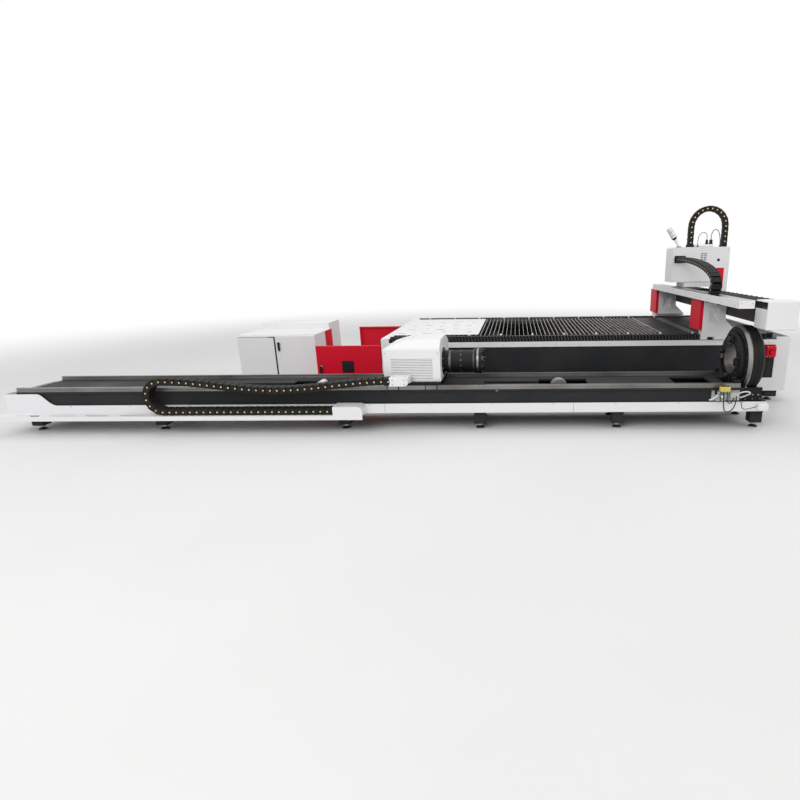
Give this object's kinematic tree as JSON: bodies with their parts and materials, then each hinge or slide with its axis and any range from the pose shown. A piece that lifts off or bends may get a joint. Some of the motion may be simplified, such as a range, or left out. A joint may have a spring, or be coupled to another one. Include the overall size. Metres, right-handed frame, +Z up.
{
  "type": "fiber laser cutting machine",
  "caption": "Flatbed laser cutter with a bridge gantry over a slatted sheet bed, beside a long tube bed with sliding and fixed rotary chucks and drag chains.",
  "frame": {"origin": "on the floor, centre of the underside of the tube bed's first levelling foot (front row, left end)", "axes": "+X along both beds from the free end to the gantry at rest, +Y from the tube bed to the sheet bed, +Z up"},
  "size_m": [8.06, 3.265, 2.1946],
  "materials": {
    "white_paint": "satin white powder coat",
    "charcoal_paint": "satin charcoal paint",
    "black_paint": "satin black paint",
    "red_paint": "gloss red paint",
    "bright_steel": "machined",
    "dark_steel": "blackened, used",
    "black_nylon": "moulded",
    "grey_paint": "satin grey paint"
  },
  "bodies": {
    "machine_frame": {"tube_bed_beam": "charcoal_paint", "tube_bed_deck": "charcoal_paint", "deck_rail_front": "bright_steel", "deck_rail_rear": "bright_steel", "side_skirt": "white_paint", "chain_tray": "white_paint", "chain_clamp_cover": "white_paint", "tube_chain": "black_nylon", "front_chuck_base": "black_paint", "front_chuck_housing": "black_paint", "air_service_unit": "grey_paint", "cable_box": "white_paint", "tube_bed_floor": "charcoal_paint", "cutting_bed_frame": "charcoal_paint", "bed_front_strip": "white_paint", "bed_front_panel": "charcoal_paint", "bed_left_cover": "white_paint", "bed_right_cover": "white_paint", "slat_table": "dark_steel", "cover_plate": "black_paint", "bed_rail_front": "black_paint", "bed_rail_rear": "bright_steel", "loaded_sheet": "white_paint", "stop_box": "red_paint", "cabinet_body": "white_paint"},
    "stop_button": {"stop_button": "black_paint"},
    "front_door": {"front_door": "red_paint"},
    "front_door_latch": {"front_door_latch": "black_paint"},
    "rear_door": {"rear_door": "red_paint"},
    "rear_door_latch": {"rear_door_latch": "black_paint"},
    "cabinet_door_left": {"cabinet_door_left": "white_paint"},
    "cabinet_door_right": {"cabinet_door_right": "white_paint"},
    "cabinet_handle": {"cabinet_handle": "black_paint"},
    "rear_chuck": {"rear_chuck_carriage": "black_paint", "rear_chuck_hood": "white_paint", "rear_chuck_bracket": "white_paint"},
    "rear_chuck_drum": {"rear_chuck_drum": "black_paint"},
    "front_chuck_drum": {"front_chuck_drum": "black_paint"},
    "front_jaw_1": {"front_jaw_1": "dark_steel"},
    "front_jaw_2": {"front_jaw_2": "dark_steel"},
    "front_jaw_3": {"front_jaw_3": "dark_steel"},
    "front_jaw_4": {"front_jaw_4": "dark_steel"},
    "support_1": {"support_fork_1": "grey_paint"},
    "support_roller_1": {"support_roller_1": "white_paint"},
    "support_2": {"support_fork_2": "grey_paint"},
    "support_roller_2": {"support_roller_2": "white_paint"},
    "gantry": {"gantry_beam": "grey_paint", "gantry_front_leg": "white_paint", "gantry_rear_leg": "white_paint", "gantry_front_leg_cover": "red_paint", "gantry_rear_leg_cover": "red_paint", "gantry_tray": "white_paint", "gantry_bellows": "black_nylon", "gantry_end_box": "white_paint", "cross_chain": "black_nylon"},
    "head": {"head_saddle": "white_paint", "head_cover": "white_paint", "loop_chain": "black_nylon", "signal_lamp": "white_paint"},
    "cutting_head": {"cutting_head": "black_paint"}
  },
  "joints": [
    {"name": "stop_press", "type": "slide", "parent": "machine_frame", "child": "stop_button", "axis": [0, 1, 0], "range_m": [0, 0.004], "stiffness_N_per_m": 900, "springref_m": -0.003},
    {"name": "front_door_hinge", "type": "hinge", "parent": "machine_frame", "child": "front_door", "pos_m": [3.2797, 0.93, 0.145], "axis": [0, 0, 1], "range_deg": [-90, 0]},
    {"name": "front_door_latch_turn", "type": "hinge", "parent": "front_door", "child": "front_door_latch", "pos_m": [2.5797, 0.8997, 0.43925], "axis": [0, 1, 0], "range_deg": [0, 90]},
    {"name": "rear_door_hinge", "type": "hinge", "parent": "machine_frame", "child": "rear_door", "pos_m": [3.2797, 2.62, 0.145], "axis": [0, 0, 1], "range_deg": [0, 90]},
    {"name": "rear_door_latch_turn", "type": "hinge", "parent": "rear_door", "child": "rear_door_latch", "pos_m": [2.5797, 2.6503, 0.43925], "axis": [0, 1, 0], "range_deg": [0, 90]},
    {"name": "cabinet_left_hinge", "type": "hinge", "parent": "machine_frame", "child": "cabinet_door_left", "pos_m": [1.47, 1.242, 0.092], "axis": [0, 0, 1], "range_deg": [-100, 0]},
    {"name": "cabinet_right_hinge", "type": "hinge", "parent": "machine_frame", "child": "cabinet_door_right", "pos_m": [2.41, 1.242, 0.092], "axis": [0, 0, 1], "range_deg": [0, 100]},
    {"name": "cabinet_handle_turn", "type": "hinge", "parent": "cabinet_door_right", "child": "cabinet_handle", "pos_m": [1.97, 1.2197, 0.6691], "axis": [0, 1, 0], "range_deg": [0, 90]},
    {"name": "rear_chuck_slide", "type": "slide", "parent": "machine_frame", "child": "rear_chuck", "axis": [1, 0, 0], "range_m": [-2, 2.2], "deforming": ["tube_chain"]},
    {"name": "rear_chuck_spin", "type": "hinge", "parent": "rear_chuck", "child": "rear_chuck_drum", "pos_m": [4.39, 0.21, 0.632], "axis": [1, 0, 0], "continuous": true},
    {"name": "front_chuck_spin", "type": "hinge", "parent": "machine_frame", "child": "front_chuck_drum", "pos_m": [6.9097, 0.21, 0.632], "axis": [1, 0, 0], "continuous": true},
    {"name": "front_jaw_1_slide", "type": "slide", "parent": "front_chuck_drum", "child": "front_jaw_1", "axis": [0, 0, -1], "range_m": [0, 0.08]},
    {"name": "front_jaw_2_slide", "type": "slide", "parent": "front_chuck_drum", "child": "front_jaw_2", "axis": [0, 1, 0], "range_m": [0, 0.08]},
    {"name": "front_jaw_3_slide", "type": "slide", "parent": "front_chuck_drum", "child": "front_jaw_3", "axis": [0, 0, 1], "range_m": [0, 0.08]},
    {"name": "front_jaw_4_slide", "type": "slide", "parent": "front_chuck_drum", "child": "front_jaw_4", "axis": [0, -1, 0], "range_m": [0, 0.08]},
    {"name": "support_1_lift", "type": "slide", "parent": "machine_frame", "child": "support_1", "axis": [0, 0, 1], "range_m": [0, 0.17]},
    {"name": "support_roller_1_spin", "type": "hinge", "parent": "support_1", "child": "support_roller_1", "pos_m": [2.84, 0.21, 0.4103], "axis": [0, 1, 0], "continuous": true},
    {"name": "support_2_lift", "type": "slide", "parent": "machine_frame", "child": "support_2", "axis": [0, 0, 1], "range_m": [0, 0.17]},
    {"name": "support_roller_2_spin", "type": "hinge", "parent": "support_2", "child": "support_roller_2", "pos_m": [5.24, 0.21, 0.3603], "axis": [0, 1, 0], "continuous": true},
    {"name": "gantry_slide", "type": "slide", "parent": "machine_frame", "child": "gantry", "axis": [-1, 0, 0], "range_m": [-0.35, 3]},
    {"name": "head_slide", "type": "slide", "parent": "gantry", "child": "head", "axis": [0, 1, 0], "range_m": [-1.76, 0.5], "deforming": ["cross_chain"]},
    {"name": "focus_slide", "type": "slide", "parent": "head", "child": "cutting_head", "axis": [0, 0, -1], "range_m": [0, 0.06]}
  ],
  "couplings": [
    {"joint": "rear_chuck_spin", "follows": "front_chuck_spin", "ratio": 1},
    {"joint": "front_jaw_3_slide", "follows": "front_jaw_1_slide", "ratio": 1},
    {"joint": "front_jaw_4_slide", "follows": "front_jaw_2_slide", "ratio": 1}
  ]
}
